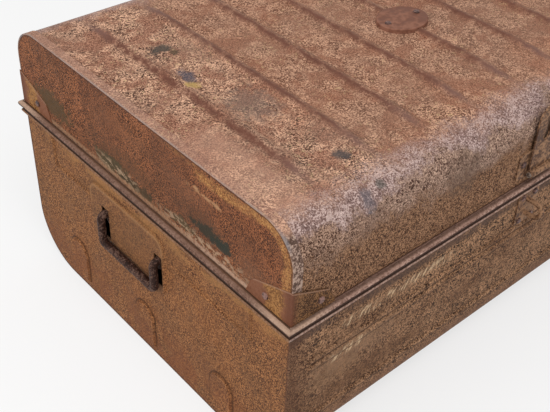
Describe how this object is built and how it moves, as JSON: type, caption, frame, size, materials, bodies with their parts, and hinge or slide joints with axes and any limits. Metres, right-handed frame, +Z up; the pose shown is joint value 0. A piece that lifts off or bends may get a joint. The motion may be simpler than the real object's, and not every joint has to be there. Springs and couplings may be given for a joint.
{
  "type": "tin trunk",
  "caption": "Small sheet-metal travelling trunk with a ribbed hinged lid, wired rims, riveted corner plates, swinging bail handles and a hasp and staple.",
  "frame": {"origin": "on the ground under the middle of the trunk", "axes": "+X along the length towards the right end, front with the staple at -Y, +Z up"},
  "size_m": [0.6144, 0.4283, 0.277],
  "materials": {
    "lid_sheet": "worn paint, speckled rust",
    "lid_end_sheet": "worn paint, rust",
    "body_sheet": "worn paint, dark rust",
    "end_sheet": "worn paint, orange rust",
    "gusset_plate": "worn ochre paint",
    "wire": "dull",
    "rivet": "dull, rusted",
    "handle_iron": "rusted iron rod",
    "fitting_iron": "rusted plate"
  },
  "bodies": {
    "trunk": {"body_wrap": "body_sheet", "body_end_left": "end_sheet", "body_end_right": "end_sheet", "body_rim_wire": "wire", "body_collar": "fitting_iron", "handle_clip_left_front": "fitting_iron", "handle_clip_left_back": "fitting_iron", "handle_clip_right_front": "fitting_iron", "handle_clip_right_back": "fitting_iron", "hinge_body_leaf_left": "fitting_iron", "hinge_body_leaf_right": "fitting_iron", "hinge_pin_left": "wire", "hinge_pin_right": "wire", "hinge_body_rivets": "rivet", "staple": "fitting_iron", "staple_rivets": "rivet"},
    "lid": {"lid_top": "lid_sheet", "lid_end_left": "lid_end_sheet", "lid_end_right": "lid_end_sheet", "lid_rim_wire": "wire", "gusset_front_left": "gusset_plate", "gusset_front_right": "gusset_plate", "gusset_back_left": "gusset_plate", "gusset_back_right": "gusset_plate", "gusset_rivets": "rivet", "lid_oval_plate": "fitting_iron", "oval_plate_rivets": "rivet", "hinge_lid_leaf_left": "fitting_iron", "hinge_lid_leaf_right": "fitting_iron", "hinge_lid_rivets": "rivet", "hasp_plate": "fitting_iron", "hasp_plate_rivets": "rivet", "hasp_pin": "wire"},
    "handle_left": {"handle_left": "handle_iron"},
    "handle_right": {"handle_right": "handle_iron"},
    "hasp": {"hasp": "fitting_iron"}
  },
  "joints": [
    {"name": "lid_hinge", "type": "hinge", "parent": "trunk", "child": "lid", "pos_m": [0, 0.2068, 0.179], "axis": [-1, 0, 0], "range_deg": [0, 180]},
    {"name": "handle_left_swing", "type": "hinge", "parent": "trunk", "child": "handle_left", "pos_m": [-0.2929, 0.016, 0.1225], "axis": [0, 1, 0], "range_deg": [0, 95]},
    {"name": "handle_right_swing", "type": "hinge", "parent": "trunk", "child": "handle_right", "pos_m": [0.2929, 0.016, 0.1225], "axis": [0, -1, 0], "range_deg": [0, 95]},
    {"name": "hasp_swing", "type": "hinge", "parent": "lid", "child": "hasp", "pos_m": [0, -0.2018, 0.199], "axis": [1, 0, 0], "range_deg": [0, 180]}
  ]
}
